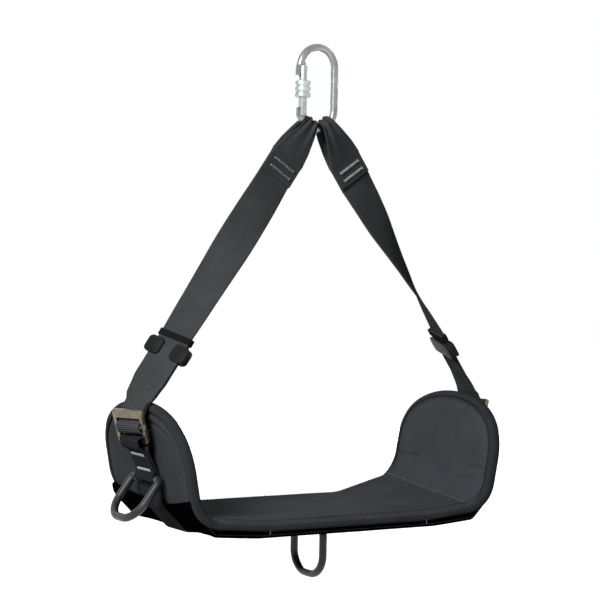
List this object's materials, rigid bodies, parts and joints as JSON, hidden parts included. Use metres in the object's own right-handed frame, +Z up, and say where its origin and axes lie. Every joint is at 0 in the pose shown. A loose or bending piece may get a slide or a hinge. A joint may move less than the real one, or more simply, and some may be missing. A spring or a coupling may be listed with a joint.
{
  "type": "bosuns chair",
  "caption": "Padded hanging work seat with raised wings, on adjustable webbing straps from a screw-gate carabiner, with gear loops below.",
  "frame": {"origin": "hang point, inside the top bow of the carabiner", "axes": "+Z up, +Y to the back of the seat, -X to the side of the carabiner's gate"},
  "size_m": [0.5132, 0.208, 0.6394],
  "materials": {
    "frame_steel": "polished",
    "gate_steel": "satin",
    "pin_steel": "satin",
    "sleeve_zinc": "zinc plated, satin",
    "buckle_steel": "plated, satin",
    "slider_steel": "knurled, plated",
    "keeper_plastic": "moulded, satin",
    "loop_tube": "smooth",
    "stiffener_sheet": "plain",
    "board_plywood": "sanded",
    "webbing": "woven polyester",
    "tack_thread": "sewn thread",
    "elastic": "woven elastic",
    "cord": "braided",
    "black_cloth": "coated cloth",
    "foam": "closed-cell foam",
    "seat_cloth": "woven nylon",
    "binding_tape": "woven tape",
    "panel_cloth": "woven nylon"
  },
  "bodies": {
    "carabiner": {"carabiner_body": "frame_steel", "hinge_pin": "pin_steel"},
    "gate": {"carabiner_gate": "gate_steel", "latch_pin": "pin_steel", "gate_spring": "pin_steel", "gate_plunger": "pin_steel"},
    "sleeve": {"screw_sleeve": "sleeve_zinc"},
    "sling": {"anchor_webbing": "webbing", "centre_loop_tab": "webbing", "strap_left": "webbing", "eye_tacks_left": "tack_thread", "buckle_frame_left": "buckle_steel", "anchor_tacks_left": "tack_thread", "wing_stiffener_left": "stiffener_sheet", "wing_panel_left": "panel_cloth", "strap_right": "webbing", "eye_tacks_right": "tack_thread", "buckle_frame_right": "buckle_steel", "anchor_tacks_right": "tack_thread", "wing_stiffener_right": "stiffener_sheet", "wing_panel_right": "panel_cloth", "seat_board": "board_plywood", "board_cover": "black_cloth", "foam_pad": "foam", "pad_cover": "seat_cloth", "edge_binding": "binding_tape"},
    "slider_left": {"buckle_slider_left": "slider_steel"},
    "keeper_left": {"keeper_clip_left": "keeper_plastic", "keeper_elastic_left": "elastic"},
    "slider_right": {"buckle_slider_right": "slider_steel"},
    "keeper_right": {"keeper_clip_right": "keeper_plastic", "keeper_elastic_right": "elastic"},
    "loop_left": {"gear_loop_tube_left": "loop_tube", "gear_loop_cord_left": "cord"},
    "loop_right": {"gear_loop_tube_right": "loop_tube", "gear_loop_cord_right": "cord"},
    "loop_centre": {"gear_loop_tube_centre": "loop_tube", "gear_loop_cord_centre": "cord"}
  },
  "joints": [
    {"name": "gate_hinge", "type": "hinge", "parent": "carabiner", "child": "gate", "pos_m": [-0.02, 0, -0.0225], "axis": [0, -1, 0], "range_deg": [0, 25], "stiffness_Nm_per_rad": 0.3, "springref_deg": -28.65},
    {"name": "sleeve_slide", "type": "slide", "parent": "gate", "child": "sleeve", "axis": [0, 0, 1], "range_m": [-0.02, 0.004]},
    {"name": "sling_swing", "type": "hinge", "parent": "carabiner", "child": "sling", "pos_m": [0, 0, -0.0905], "axis": [1, 0, 0], "range_deg": [-15, 15]},
    {"name": "slider_left", "type": "slide", "parent": "sling", "child": "slider_left", "axis": [-0.2823, 0, 0.9593], "range_m": [-0.0025, 0]},
    {"name": "keeper_left", "type": "slide", "parent": "sling", "child": "keeper_left", "axis": [0.5664, 0, 0.8241], "range_m": [-0.025, 0]},
    {"name": "slider_right", "type": "slide", "parent": "sling", "child": "slider_right", "axis": [0.2823, 0, 0.9593], "range_m": [-0.0025, 0]},
    {"name": "keeper_right", "type": "slide", "parent": "sling", "child": "keeper_right", "axis": [-0.5664, 0, 0.8241], "range_m": [-0.025, 0]},
    {"name": "loop_left", "type": "hinge", "parent": "sling", "child": "loop_left", "pos_m": [-0.21886, 0, -0.5], "axis": [0, 1, 0], "range_deg": [-37, 70]},
    {"name": "loop_right", "type": "hinge", "parent": "sling", "child": "loop_right", "pos_m": [0.21886, 0, -0.5], "axis": [0, -1, 0], "range_deg": [-37, 70]},
    {"name": "loop_centre", "type": "hinge", "parent": "sling", "child": "loop_centre", "pos_m": [0, 0, -0.5705], "axis": [0, 1, 0], "range_deg": [-75, 75]}
  ]
}
